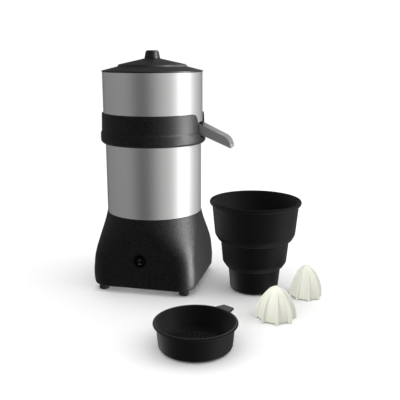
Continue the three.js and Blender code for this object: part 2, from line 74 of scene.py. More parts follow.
# ---------------------------------------------------------------- materials
def set_stops(ramp, stops):
    """Gives a color ramp these (position, value) stops, where a value is a grey or an (r, g, b)."""
    while len(ramp.elements) < len(stops):
        ramp.elements.new(0.5)
    for element, (position, value) in zip(ramp.elements, stops):
        element.position = position
        element.color = (*value, 1.0) if isinstance(value, tuple) else (value, value, value, 1.0)


def shade(color, factor):
    return tuple(min(1.0, c * factor) for c in color)


class Nodes:
    """A node material being built, with short calls for the nodes that the finishes share."""

    def __init__(self, name):
        self.material = bpy.data.materials.new(name)
        self.material.use_nodes = True
        self.tree = self.material.node_tree
        self.shader = self.tree.nodes["Principled BSDF"]
        self.place = self.add("ShaderNodeTexCoord").outputs["Object"]

    def add(self, kind, **values):
        node = self.tree.nodes.new(kind)
        for key, value in values.items():
            setattr(node, key, value)
        return node

    def link(self, out, socket):
        self.tree.links.new(out, socket)

    def stretched(self, scale):
        mapping = self.add("ShaderNodeMapping")
        mapping.inputs["Scale"].default_value = scale
        self.link(self.place, mapping.inputs["Vector"])
        return mapping.outputs["Vector"]

    def noise(self, scale, detail=3.0, roughness=0.55, vector=None):
        node = self.add("ShaderNodeTexNoise")
        node.inputs["Scale"].default_value = scale
        node.inputs["Detail"].default_value = detail
        node.inputs["Roughness"].default_value = roughness
        self.link(vector or self.place, node.inputs["Vector"])
        return node.outputs["Fac"]

    def ramp(self, fac, stops):
        node = self.add("ShaderNodeValToRGB")
        set_stops(node.color_ramp, stops)
        self.link(fac, node.inputs["Fac"])
        return node.outputs["Color"]

    def bump(self, height, strength, distance):
        node = self.add("ShaderNodeBump")
        node.inputs["Strength"].default_value = strength
        node.inputs["Distance"].default_value = distance
        self.link(height, node.inputs["Height"])
        return node.outputs["Normal"]

    def finish(self, **sockets):
        """Links each socket named, or sets it where it is given a number or a color."""
        names = {"color": "Base Color", "roughness": "Roughness", "normal": "Normal",
                 "metallic": "Metallic", "specular": "Specular IOR Level", "anisotropic": "Anisotropic",
                 "tangent": "Tangent", "subsurface": "Subsurface Weight",
                 "subsurface_scale": "Subsurface Scale"}
        for key, value in sockets.items():
            socket = self.shader.inputs[names[key]]
            if isinstance(value, bpy.types.NodeSocket):
                self.link(value, socket)
            elif isinstance(value, tuple):
                socket.default_value = (*value, 1.0)
            else:
                socket.default_value = value
        return self.material


def moulded(name, color, roughness, grain_mm, depth, specular=0.5, fleck=0.14):
    """Moulded plastic: a fine pebbled texture, flecked in its own tone, with a little uneven gloss."""
    n = Nodes(name)
    grain = n.noise(1.0 / (grain_mm * MM), detail=2.0, roughness=0.5)
    cloud = n.noise(18.0, detail=4.0)
    tone = n.ramp(grain, [(0.35, shade(color, 1 - fleck)), (0.65, shade(color, 1 + fleck))])
    gloss = n.ramp(cloud, [(0.25, roughness - 0.04), (0.75, roughness + 0.05)])
    normal = n.bump(grain, depth, 0.25 * grain_mm * MM)
    return n.finish(color=tone, roughness=gloss, normal=normal, specular=specular)


def brushed(name, color, roughness, anisotropic, streak=(40.0, 40.0, 900.0)):
    """Brushed steel: fine scratches that run round the drum, so that reflections draw out upwards."""
    n = Nodes(name)
    fine = n.noise(1.0, detail=2.0, roughness=0.6, vector=n.stretched(streak))
    tone = n.ramp(fine, [(0.25, shade(color, 0.993)), (0.75, shade(color, 1.007))])
    gloss = n.ramp(fine, [(0.2, roughness - 0.004), (0.8, roughness + 0.004)])
    normal = n.bump(fine, 0.006, 0.00003)
    tangent = n.add("ShaderNodeTangent", direction_type="RADIAL", axis="Z").outputs["Tangent"]
    return n.finish(color=tone, roughness=gloss, normal=normal, metallic=1.0, anisotropic=anisotropic,
                    tangent=tangent)


def cast(name, color, roughness, metallic, grain_mm, depth):
    """Cast, turned or wound metal with an even grain."""
    n = Nodes(name)
    grain = n.noise(1.0 / (grain_mm * MM), detail=4.0, roughness=0.6)
    tone = n.ramp(grain, [(0.3, shade(color, 0.8)), (0.7, shade(color, 1.15))])
    gloss = n.ramp(grain, [(0.3, roughness - 0.06), (0.7, roughness + 0.08)])
    normal = n.bump(grain, depth, 0.3 * grain_mm * MM)
    return n.finish(color=tone, roughness=gloss, metallic=metallic, normal=normal)


def banded(name, color, roughness, metallic, pitch_mm):
    """Stacked laminations or wound wire: thin rings one above another."""
    n = Nodes(name)
    wave = n.add("ShaderNodeTexWave", wave_type="BANDS", bands_direction="Z")
    wave.inputs["Scale"].default_value = 0.31 / (pitch_mm * MM)
    wave.inputs["Distortion"].default_value = 0.4
    n.link(n.place, wave.inputs["Vector"])
    lines = wave.outputs["Fac"]
    tone = n.ramp(lines, [(0.1, shade(color, 0.45)), (0.6, color)])
    normal = n.bump(lines, 0.5, 0.3 * pitch_mm * MM)
    return n.finish(color=tone, roughness=roughness, metallic=metallic, normal=normal)


def ivory(name, color):
    """Glossy cream plastic with a little depth and very fine tool marks."""
    n = Nodes(name)
    cloud = n.noise(40.0, detail=3.0)
    grain = n.noise(900.0, detail=2.0)
    tone = n.ramp(cloud, [(0.3, shade(color, 0.97)), (0.7, color)])
    gloss = n.ramp(cloud, [(0.3, 0.30), (0.7, 0.38)])
    return n.finish(color=tone, roughness=gloss, normal=n.bump(grain, 0.06, 0.0002), subsurface=0.04,
                    subsurface_scale=0.002)


# Painted shade: a darker, rougher copy of the matte black for the faces inside the cup, standing in for
# the shade that falls there.
BLACK_PAINTED_SHADE = moulded("black_plastic_painted_shade", (0.0030, 0.0030, 0.0032), 0.6, 0.45, 0.2,
                       specular=0.13)
BLACK_TEXTURED = moulded("black_textured_plastic", (0.0042, 0.0042, 0.0045), 0.44, 1.8, 0.85,
                         specular=0.155, fleck=0.9)
BLACK_SATIN = moulded("black_satin_plastic", (0.0070, 0.0070, 0.0075), 0.42, 0.5, 0.25, specular=0.24)
BLACK_MATTE = moulded("black_matte_plastic", (0.0034, 0.0034, 0.0037), 0.47, 0.45, 0.22,
                      specular=0.095)
SWITCH_GLOSS = moulded("switch_gloss_plastic", (0.0012, 0.0011, 0.0016), 0.35, 0.8, 0.05,
                       specular=0.06)
RUBBER = moulded("black_rubber", (0.010, 0.010, 0.011), 0.72, 0.35, 0.35)
GREY_PLASTIC = moulded("grey_plastic", (0.16, 0.17, 0.18), 0.45, 0.5, 0.2)
MARK = moulded("pale_mark", (0.085, 0.085, 0.088), 0.5, 0.3, 0.05, specular=0.2)
STEEL = brushed("brushed_steel", (0.66, 0.66, 0.655), 0.27, 0.75)
SPOUT_STEEL = brushed("satin_steel", (0.54, 0.54, 0.542), 0.44, 0.3, streak=(60.0, 1500.0, 60.0))
# Painted light: the spout's inside is a lighter, rougher copy of its steel, standing in for the light
# that falls into the channel.
SPOUT_PAINTED_LIGHT = brushed("blasted_steel_painted_light", (0.80, 0.80, 0.80), 0.70, 0.0, streak=(60.0, 1500.0, 60.0))
BRIGHT_STEEL = cast("turned_steel", (0.62, 0.62, 0.63), 0.28, 1.0, 0.25, 0.08)
ALUMINIUM = cast("cast_aluminium", (0.56, 0.57, 0.58), 0.48, 1.0, 0.8, 0.35)
LAMINATION = banded("lamination_steel", (0.10, 0.105, 0.11), 0.5, 0.8, 0.6)
COPPER = banded("winding_copper", (0.44, 0.15, 0.05), 0.32, 1.0, 0.9)
IVORY = ivory("ivory_plastic", (0.535, 0.54, 0.468))

SLOTS = {
    "black_plastic": BLACK_SATIN,
    "stainless_steel": BRIGHT_STEEL,
    "cast_aluminium": ALUMINIUM,
    "lamination_steel": LAMINATION,
    "winding_copper": COPPER,
    "black_rubber": RUBBER,
    "ivory_plastic": IVORY,
    "grey_plastic": GREY_PLASTIC,
    "switch_plastic": SWITCH_GLOSS,
}
SLOT_OF = {row["node"]: row["material_slot"] for row in frame["record"]["subparts"]}
for node_name, node in frame["nodes"].items():
    node.data.materials.clear()
    node.data.materials.append(SLOTS[SLOT_OF[node_name]])
frame["nodes"]["strainer_screen"].data.materials[0] = BLACK_MATTE
frame["nodes"]["bottom_plate"].data.materials[0] = BRIGHT_STEEL


# ---------------------------------------------------------------- shape helpers, in mm
def new_mesh(name, verts, faces):
    """A mesh from vertices in mm, with doubled points joined and every face turned outwards."""
    mesh = bpy.data.meshes.new(name)
    mesh.from_pydata([tuple(c * MM for c in v) for v in verts], [], faces)
    work = bmesh.new()
    work.from_mesh(mesh)
    bmesh.ops.remove_doubles(work, verts=work.verts, dist=1e-7)
    bmesh.ops.recalc_face_normals(work, faces=work.faces)
    work.to_mesh(mesh)
    work.free()
    return mesh


def make(name, verts, faces, material, body, slot, replaces=(), sharp=32.0):
    """A named piece from vertices in mm in the row frame, smooth except across sharp edges."""
    mesh = new_mesh(name, verts, faces)
    obj = placed(name, mesh)
    smooth(mesh, sharp)
    mesh.materials.append(material)
    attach(obj, body)
    if replaces:
        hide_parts(*replaces)
    return obj


def smooth(mesh, sharp):
    """Smooth shading, with an edge left sharp where its faces meet at more than this many degrees."""
    work = bmesh.new()
    work.from_mesh(mesh)
    limit = math.radians(sharp)
    for face in work.faces:
        face.smooth = True
    for edge in work.edges:
        edge.smooth = len(edge.link_faces) == 2 and edge.calc_face_angle(0.0) < limit
    work.to_mesh(mesh)
    work.free()


def rounded(points, closed=True, steps=6):
    """A polyline with each (x, y, radius) corner made an arc. A corner with no radius stays sharp."""
    result = []
    count = len(points)
    for i, point in enumerate(points):
        here = np.array(point[:2], float)
        radius = point[2] if len(point) > 2 else 0.0
        if radius <= 0 or (not closed and i in (0, count - 1)):
            result.append(tuple(here))
            continue
        before = np.array(points[(i - 1) % count][:2], float) - here
        after = np.array(points[(i + 1) % count][:2], float) - here
        side_before, side_after = np.linalg.norm(before), np.linalg.norm(after)
        before, after = before / side_before, after / side_after
        angle = math.acos(max(-1.0, min(1.0, float(before @ after))))
        reach = min(radius / math.tan(angle / 2), 0.49 * side_before, 0.49 * side_after)
        true_radius = reach * math.tan(angle / 2)
        bisector = (before + after) / np.linalg.norm(before + after)
        centre = here + bisector * true_radius / math.sin(angle / 2)
        start = here + before * reach - centre
        end = here + after * reach - centre
        a0 = math.atan2(start[1], start[0])
        sweep = (math.atan2(end[1], end[0]) - a0 + math.pi) % (2 * math.pi) - math.pi
        for k in range(steps + 1):
            a = a0 + sweep * k / steps
            result.append(tuple(centre + true_radius * np.array((math.cos(a), math.sin(a)))))
    return result


def circle(radius, count):
    turns = [2 * math.pi * i / count for i in range(count)]
    return [(radius * math.cos(a), radius * math.sin(a)) for a in turns]


def bridge(low, high, count):
    """Faces between two rings of count points each, that start at these two vertices."""
    return [(low + i, low + (i + 1) % count, high + (i + 1) % count, high + i) for i in range(count)]


def fan(tip, start, count):
    """Triangles between one vertex and a ring of count points that starts at another."""
    return [(tip, start + i, start + (i + 1) % count) for i in range(count)]


def skin(rings, closed=False):
    """Vertices and faces that run over equal rings of points, and back to the first if closed."""
    count = len(rings[0])
    starts = [count * k for k in range(len(rings))]
    above = starts[1:] + starts[:1] if closed else starts[1:]
    faces = []
    for low, high in zip(starts, above):
        faces += bridge(low, high, count)
    return [point for ring in rings for point in ring], faces


def capped(rings, first, last):
    """A closed skin over rings, drawn together to a point before the first and one after the last."""
    verts, faces = skin(rings)
    count, end = len(rings[0]), len(verts)
    faces += fan(end, 0, count) + fan(end + 1, end - count, count)
    return verts + [first, last], faces


def lathe_mesh(profile, centre, segments, closed=True):
    """Vertices and faces of a profile of (radius, height) turned about a vertical axis at centre."""
    verts, faces, rings = [], [], []
    for radius, height in profile:
        on_axis = radius < 1e-6
        rings.append((len(verts), on_axis))
        for x, y in circle(radius, segments)[:1 if on_axis else segments]:
            verts.append((centre[0] + x, centre[1] + y, height))
    above = rings[1:] + rings[:1] if closed else rings[1:]
    for (low, low_on_axis), (high, high_on_axis) in zip(rings, above):
        if low_on_axis and high_on_axis:
            continue
        if low_on_axis:
            faces += fan(low, high, segments)
        elif high_on_axis:
            faces += fan(high, low, segments)
        else:
            faces += bridge(low, high, segments)
    return verts, faces


def lathe(name, profile, material, body, slot, replaces=(), centre=AXIS, segments=192, closed=True,
          steps=6):
    """A turned piece. Its profile's corners are (radius, height) or (radius, height, rounding)."""
    verts, faces = lathe_mesh(rounded(profile, closed, steps), centre, segments, closed)
    return make(name, verts, faces, material, body, slot, replaces)


def carve(obj, verts, faces, sharp=32.0):
    """Cuts a closed shape, given in mm in the row frame, out of a piece."""
    mesh = new_mesh("cutter", verts, faces)
    cutter = placed("cutter", mesh)
    modifier = obj.modifiers.new("cut", "BOOLEAN")
    modifier.operation = "DIFFERENCE"
    modifier.solver = "EXACT"
    modifier.object = cutter
    bpy.context.view_layer.update()
    evaluated = obj.evaluated_get(bpy.context.evaluated_depsgraph_get())
    result = bpy.data.meshes.new_from_object(evaluated)
    obj.modifiers.remove(modifier)
    materials = list(obj.data.materials)
    obj.data = result
    obj.data.materials.clear()
    for material in materials:
        obj.data.materials.append(material)
    bpy.data.objects.remove(cutter)
    bpy.data.meshes.remove(mesh)
    smooth(obj.data, sharp)


def prism(outline, place):
    """A closed prism over (u, v) points. place turns (u, v, 0 or 1) into a row-frame point."""
    count = len(outline)
    verts = [place(u, v, end) for end in (0, 1) for u, v in outline]
    ends = [tuple(range(count)), tuple(range(2 * count - 1, count - 1, -1))]
    return verts, ends + bridge(0, count, count)


def rightward(outline, near, far):
    """A prism from near to far right of the axis: u runs to the rear and v is the height."""
    return prism(outline, lambda u, v, end: (AXIS[0] + (far if end else near), AXIS[1] + u, v))


def bevel(obj, width_mm, segments, angle):
    modifier = obj.modifiers.new("bevel", "BEVEL")
    modifier.width = width_mm * MM
    modifier.segments = segments
    modifier.limit_method = "ANGLE"
    modifier.angle_limit = math.radians(angle)


def smooth_curve(knots, steps):
    """Catmull-Rom through (height, value) knots, evenly in height between them."""
    knots = np.array(knots, float)
    out = []
    for i in range(len(knots) - 1):
        p1, p2 = knots[i], knots[i + 1]
        p0 = knots[i - 1] if i else p1 - (p2 - p1)
        p3 = knots[i + 2] if i + 2 < len(knots) else p2 + (p2 - p1)
        s1 = (p2[1] - p0[1]) / (p2[0] - p0[0]) * (p2[0] - p1[0])
        s2 = (p3[1] - p1[1]) / (p3[0] - p1[0]) * (p2[0] - p1[0])
        for k in range(steps):
            t = k / steps
            h = p1[0] + (p2[0] - p1[0]) * t
            v = ((2 * t**3 - 3 * t**2 + 1) * p1[1] + (t**3 - 2 * t**2 + t) * s1
                 + (-2 * t**3 + 3 * t**2) * p2[1] + (t**3 - t**2) * s2)
            out.append((h, v))
    out.append(tuple(knots[-1]))
    return out


# ---------------------------------------------------------------- base shell and feet
# The outside as (height, half width): the rounded lower edge, then the knots of the curve above it.
BASE_FOOT = [(10.0, 83.4), (10.25, 84.5), (10.9, 85.4), (12.0, 86.1)]
BASE_KNOTS = [(13.5, 86.55), (22, 87.1), (32, 87.2), (50, 85.95), (74, 84.2), (100, 82.6),
              (116, 81.0), (124, 79.9)]
BASE_TOP = 124.0
BASE_WALL = 3.0
SWITCH_HEIGHT = 57.2
SWITCH_HOLE = 10.2
FOOT_PROFILE = [(4.7, 0.05, 0.3), (7.3, 0.05, 1.3), (8.1, 1.7, 1.2), (7.75, 9, 0.8), (6.9, 11.6),
                (2.4, 11.6), (2.4, 6.0), (4.7, 6.0)]
FOOT_REACH = 68.8
CORNERS = {"front_left": (-1, -1), "front_right": (1, -1), "rear_left": (-1, 1), "rear_right": (1, 1)}


def base_corner(height):
    """The corner radius: small low down, and a full round at the top."""
    low_corner, top_corner, blend = 28.0, 80.0, 72.0
    t = min(1.0, max(0.0, (BASE_TOP - height) / blend))
    return top_corner + (low_corner - top_corner) * t * t * (3 - 2 * t)


def square_radius(angle, half, corner):
    """How far the edge of a rounded square is from its centre in this direction."""
    c, s = abs(math.cos(angle)), abs(math.sin(angle))
    if s > c:
        c, s = s, c
    flat = half - corner
    if flat <= 0 or half * s / c > flat:
        q = flat * (c + s)
        return q + math.sqrt(max(0.0, q * q - 2 * flat * flat + corner * corner))
    return half / c


def base_ring(half, corner, height, columns=288):
    """Points round a rounded square about the axis."""
    ring = []
    for i in range(columns):
        a = 2 * math.pi * (i + 0.5) / columns
        r = square_radius(a, half, min(corner, half))
        ring.append((AXIS[0] + r * math.cos(a), AXIS[1] + r * math.sin(a), height))
    return ring


def base_shell():
    """Up the outside, over the seat that the jacket stands on, and down the inside."""
    outside = smooth_curve(BASE_KNOTS, 7)
    full = 86.3  # half the width over the rounded lower edge, whose corners draw in with it
    rings = [base_ring(half, base_corner(height) - (full - half), height) for height, half in BASE_FOOT]
    rings += [base_ring(half, base_corner(height), height) for height, half in outside]
    seat, lip = 77.5, 2.4
    for half, height in ((79.6, 124.1), (seat, 124.1), (seat, 131.0), (seat - lip, 131.0),
                         (seat - lip, 121.0)):
        rings.append(base_ring(half, half, height))
    for height, half in reversed(outside[:-6]):
        rings.append(base_ring(half - BASE_WALL, base_corner(height) - BASE_WALL, height))
    rings.append(base_ring(81.8, base_corner(10.0) - BASE_WALL, 10.0))
    obj = make("base_housing", *skin(rings, closed=True), BLACK_TEXTURED, "housing", "black_plastic",
               ["base_shell"])
    carve(obj, *prism(circle(SWITCH_HOLE, 48), lambda u, v, end: (
        AXIS[0] + u, AXIS[1] - (95 if end else 70), SWITCH_HEIGHT + v)))


base_shell()
for corner, (side_x, side_y) in CORNERS.items():
    lathe(f"rubber_foot_{corner}", FOOT_PROFILE, RUBBER, "housing", "black_rubber", [f"foot_{corner}"],
          centre=(AXIS[0] + FOOT_REACH * side_x, AXIS[1] + FOOT_REACH * side_y), segments=56)

# ---------------------------------------------------------------- switch
PIVOT = (AXIS[0], AXIS[1] - 84.6, SWITCH_HEIGHT)
ROCKER_RADIUS = 8.05
ROCKER_BACK = -3.9
TILT = math.radians(8)


def switch_bezel():
    """A ring with a well for the rocker, turned upright and then laid over to face the front."""
    profile = rounded([(0, 76.2), (8.9, 76.2, 0.3), (8.9, 86.2, 0.5), (9.6, 86.8, 0.4),
                       (10.95, 86.4, 0.6), (10.95, 84.4), (9.6, 84.4), (9.6, 62), (0, 62)],
                      closed=False, steps=5)
    verts, faces = lathe_mesh(profile, (0, 0), 96, closed=False)
    verts = [(AXIS[0] + x, AXIS[1] - out, SWITCH_HEIGHT + y) for x, y, out in verts]
    make("switch_bezel", verts, faces, SWITCH_GLOSS, "housing", "switch_plastic", ["switch_body"])


def rocker_point(u, v, out):
    """A point on the rocker at rest: u across, v up its face, out towards the user."""
    return (PIVOT[0] + u, PIVOT[1] - out * math.cos(TILT) - v * math.sin(TILT),
            PIVOT[2] - out * math.sin(TILT) + v * math.cos(TILT))


def rocker_face(v):
    """How far the rocker's face stands out: two shallow curves that meet at the pivot."""
    return 1.1 + 1.05 * (abs(v) / 8.1) ** 1.25


def switch_rocker():
    count, levels = 72, 16
    edge = [(7.9, 0.02), (8.02, 0.12), (ROCKER_RADIUS, 0.35)]
    face = [(ROCKER_RADIUS * k / levels, 0.0) for k in range(1, levels)]
    rings = [[rocker_point(u, v, rocker_face(v) - drop) for u, v in circle(radius, count)]
             for radius, drop in face + edge]
    back_radius = 6.4
    rings.append([rocker_point(u, v, ROCKER_BACK) for u, v in circle(back_radius, count)])
    solid = capped(rings, rocker_point(0, 0, rocker_face(0)), rocker_point(0, 0, ROCKER_BACK))
    make("rocker_button", *solid, SWITCH_GLOSS, "rocker", "switch_plastic", ["switch_rocker"], sharp=50)


def switch_marks():
    """Faint on and off marks: a small ring over a short bar, just proud of the face."""
    count, proud = 32, 0.05
    bar = [(-2.7, -4.6), (2.7, -4.6), (2.7, -3.7), (-2.7, -3.7)]
    ring = [(u, 2.2 + v) for radius in (1.4, 0.9) for u, v in circle(radius, count)]
    verts = [rocker_point(u, v, rocker_face(v) + proud) for u, v in bar + ring]
    faces = [(0, 1, 2, 3)] + bridge(len(bar), len(bar) + count, count)
    make("switch_marks", verts, faces, MARK, "rocker", "switch_plastic")


switch_bezel()
switch_rocker()
switch_marks()


# ---------------------------------------------------------------- cord gland at the back
def cord_bush():
    gland_height = 30.0
    profile = rounded([(3.8, 76), (8, 76), (8, 87.8), (11, 87.8, 0.4), (11, 89.8, 0.6),
                       (8.6, 90.6, 0.8), (6.4, 95.1, 0.8), (3.8, 95.1, 0.6)], steps=4)
    verts, faces = lathe_mesh(profile, (0, 0), 48)
    verts = [(AXIS[0] + x, AXIS[1] + out, gland_height + y) for x, y, out in verts]
    make("cord_bush", verts, faces, RUBBER, "housing", "black_rubber", ["cord_gland"])


cord_bush()

# ---------------------------------------------------------------- motor jacket and collar
lathe("motor_drum", [(79.2, 124.4, 0.3), (79.2, 245.9, 0.3), (78.0, 245.9), (78.0, 124.4)],
      STEEL, "housing", "stainless_steel", ["motor_jacket"], segments=256)


def collar():
    """The moulded ring, with a notch on the right that the spout lies in."""
    obj = lathe("collar",
                [(79.65, 240.05, 0.4), (83.4, 240.05, 2.6), (86.5, 243.6, 4.0), (86.85, 249.5, 5.0),
                 (86.45, 257.0, 2.2), (84.85, 260.2, 3.0), (84.15, 288.9, 1.6), (82.25, 288.9, 0.5),
                 (82.25, 249.0), (70.1, 249.0, 0.5), (70.1, 246.45), (79.65, 246.45)],
                BLACK_TEXTURED, "housing", "black_plastic", ["collar_ring"], segments=288)
    side = rounded([(0, 250.9), (17.2, 250.9, 1.5), (18.5, 263.0, 20.0), (21.4, 274.0, 20.0),
                    (26.0, 289.0, 15.0), (46.0, 289.1), (46.0, 300.0)], closed=False)[1:]
    carve(obj, *rightward(side + [(-u, v) for u, v in reversed(side)], 60, 100))
    bevel(obj, 0.8, 3, 38)


collar()


# ---------------------------------------------------------------- bowl and spout
def bowl():
    """The upper drum, and its sloping floor with a chimney round the shaft."""
    slope = 0.06
    drum = lathe("bowl_drum", [(81.6, 249.4, 0.3), (81.6, 354.3, 0.5), (80.5, 354.3, 0.4), (80.5, 249.4)],
                 STEEL, "bowl", "stainless_steel", ["bowl_wall"], segments=256)
    profile = rounded([(9.6, 294.8), (12.8, 294.8, 0.8), (12.8, 260.2, 1.2), (77.1, 260.2, 1.8),
                       (80.1, 263.0, 1.5), (80.1, 267.3, 0.3), (78.9, 267.3, 0.3), (76.6, 261.4, 3.0),
                       (14.0, 261.4, 3.0), (14.0, 296.0, 1.6), (9.6, 296.0, 0.4)])
    verts, faces = lathe_mesh(profile, AXIS, 192)
    verts = [(x, y, z - slope * (x - AXIS[0])) for x, y, z in verts]
    dish = make("bowl_dish", verts, faces, STEEL, "bowl", "stainless_steel", ["bowl_floor"])
    outlet = rounded([(-14.2, 257.2, 2.5), (14.2, 257.2, 2.5), (14.2, 275.2, 1.5), (-14.2, 275.2, 1.5)],
                     steps=5)
    for piece in (drum, dish):
        carve(piece, *rightward(outlet, 66, 92))


bowl()

SPOUT_START, SPOUT_END = 81.6, 133.4  # distances from the axis
SPOUT_HALF = 16.0
SPOUT_BEND = 2.6
SPOUT_SHEET = 1.5


def spout_section(x):
    """The (across, height) points of the channel at x: down its front side, and up its rear one."""
    low = 259.0 - (x - 74.0) * 0.4170
    high = 276.8 - (x - 74.0) * 0.4753
    nose, least = 122.0, 0.35  # from the nose to the end the sides are rounded down, to the least height
    if x > nose:
        share = min(1.0, (x - nose) / (SPOUT_END - nose))
        high = low + (high - low) * math.sqrt(max(0.0, 1 - share ** 2.4)) * 0.98 + least
    walls, bends, across = 9, 6, 10
    side = [(-SPOUT_HALF, high + (low + SPOUT_BEND - high) * k / (walls - 1)) for k in range(walls)]
    for k in range(1, bends + 1):
        a = math.pi / 2 * k / bends
        side.append((-SPOUT_HALF + SPOUT_BEND * (1 - math.cos(a)), low + SPOUT_BEND * (1 - math.sin(a))))
    flat = SPOUT_HALF - SPOUT_BEND
    section = side + [(-flat + 2 * flat * k / across, low) for k in range(1, across)]
    section += [(-u, v) for u, v in reversed(side)]
    if high < low + SPOUT_BEND:
        top = low + max(least, high - low)
        section = [(u, min(v, top) if abs(u) > flat - 0.01 else v) for u, v in section]
    return section


def spout():
    """A folded channel, open above. Its inside is rougher, like blasted steel, and painted lighter than
    the outside, as light in the channel.
    """
    rows = []
    for t in np.linspace(0.0, 1.0, 40):
        x = SPOUT_START + (SPOUT_END - SPOUT_START) * (1 - (1 - t) ** 1.6)
        rows.append([(AXIS[0] + x, AXIS[1] + u, v) for u, v in spout_section(x)])
    verts = [point for row in rows for point in row]
    width = len(rows[0])
    faces = [(a, a + 1, a + width + 1, a + width) for start in range(0, len(verts) - width, width)
             for a in range(start, start + width - 1)]
    obj = make("spout_channel", verts, faces, SPOUT_STEEL, "bowl", "stainless_steel", ["spout"],
               sharp=60)
    thick = obj.modifiers.new("sheet", "SOLIDIFY")
    thick.thickness = SPOUT_SHEET * MM
    thick.offset = -1.0
    thick.use_even_offset = False
    thick.material_offset = 1
    # The inside of the sheet takes the lighter copy: painted light in the channel.
    obj.data.materials.append(SPOUT_PAINTED_LIGHT)
    bevel(obj, 0.3, 2, 50)


spout()

# ---------------------------------------------------------------- lid
lathe("lid_cover",
      [(2.4, 372.5), (12, 372.1), (52, 362.5, 6), (77.4, 355.5, 1), (77.4, 347.6), (79.5, 347.6, 0.4),
       (79.5, 354.8), (82.5, 354.8, 0.3), (82.5, 356.1, 0.4), (57.0, 362.6, 1.2), (54.6, 365.8, 1.4),
       (50.5, 366.8, 4.0), (14.4, 374.95), (13.2, 375.25), (13.2, 374.65), (2.4, 374.65)],
      BLACK_SATIN, "lid", "black_plastic", ["lid"], segments=224)
lathe("knob",
      [(0, 385), (1.9, 385), (1.9, 375.0), (12.7, 375.0, 0.2), (12.85, 376.3, 0.6), (11.6, 381.4, 9.0),
       (10.85, 386.1, 2.4), (8.4, 388.1, 3.0), (0, 388.18)],
      BLACK_SATIN, "lid", "black_plastic", ["lid_knob"], segments=96, closed=False)


# ---------------------------------------------------------------- juice cup and strainer
def juice_cup():
    """The stepped cup, with painted shade: a darker copy of its plastic on the faces that look inwards.
    """
    obj = lathe("stepped_cup",
                [(0, 0.05), (32.6, 0.05, 4.5), (39.4, 4.2, 7.5), (42.8, 40.3, 0.9), (46.4, 41.4, 4.0),
                 (52.2, 50.0, 9.0), (55.8, 86.3, 0.9), (60.2, 87.6, 4.5), (65.4, 96.5, 10.0),
                 (70.15, 145.2, 0.9), (73.2, 145.7, 1.6), (74.45, 148.7, 2.0), (73.4, 151.7, 1.8),
                 (71.0, 151.95, 1.5), (68.6, 150.4, 2.0), (63.2, 99.0, 10.0), (58.6, 90.2, 4.0),
                 (53.4, 88.6, 0.9), (50.0, 52.0, 9.0), (45.6, 44.0, 4.0), (40.5, 42.6, 0.9),
                 (37.4, 6.4, 6.0), (30.0, 2.6, 4.0), (0, 2.6)],
                BLACK_MATTE, "cup", "black_plastic", ["juice_cup"], centre=CUP, closed=False, steps=8)
    # The faces that look inwards take the darker copy, as painted shade inside the cup.
    obj.data.materials.append(BLACK_PAINTED_SHADE)
    rim, ledge = 150 * MM, 148 * MM  # nothing above the rim is inside, and no step above the ledge
    for face in obj.data.polygons:
        middle, normal = face.center, face.normal
        outward = (middle.x - CUP[0] * MM) * normal.x + (middle.y - CUP[1] * MM) * normal.y
        if middle.z < rim and (outward < -1e-6 or (normal.z > 0.5 and middle.z < ledge)):
            face.material_index = 1
    return obj


def strainer():
    """The round tub with its tab. The screen in it keeps the CAD shape."""
    verts, faces = lathe_mesh(
        rounded([(38.45, 0.05), (43.5, 0.05, 3.0), (50.0, 3.6, 5.0), (52.75, 33.6, 0.6),
                 (56.4, 33.9, 1.6), (57.35, 36.2, 1.6), (55.2, 37.95, 1.6), (52.6, 37.0, 1.8),
                 (48.9, 7.0, 4.5), (44.0, 2.4, 3.5), (38.45, 2.4)], steps=7), STRAINER, 192)
    tab_angle, tab_bottom, tab_top = math.radians(60.8), 34.5, 37.3
    c, s = math.cos(tab_angle), math.sin(tab_angle)
    tab = rounded([(54.6, -13.4, 1.0), (69.4, -9.2, 2.4), (69.4, 9.2, 2.4), (54.6, 13.4, 1.0)])
    tab_verts, tab_faces = prism(tab, lambda u, v, end: (
        STRAINER[0] + u * c - v * s, STRAINER[1] + u * s + v * c, tab_top if end else tab_bottom))
    faces += [tuple(len(verts) + i for i in face) for face in tab_faces]
    obj = make("strainer_tub", verts + tab_verts, faces, BLACK_MATTE, "strainer", "black_plastic",
               ["strainer_basket"])
    bevel(obj, 0.6, 3, 60)
    return obj


# Their mirror images would fill the steel drums beside them.
for piece in (juice_cup(), strainer(), frame["nodes"]["strainer_screen"]):
    piece.visible_glossy = False

# ---------------------------------------------------------------- reamers
RIDGES = 8
RIDGE_STEPS = 32


def flute(off):
    """Share of the flute's depth from the crest of a ridge (0) to the middle of the flute (1)."""
    wall = min(1.0, max(0.0, off - 0.08) / 0.24)
    return 0.74 * wall * wall * (3 - 2 * wall) + 0.26 * (1 - (1 - off) ** 2)


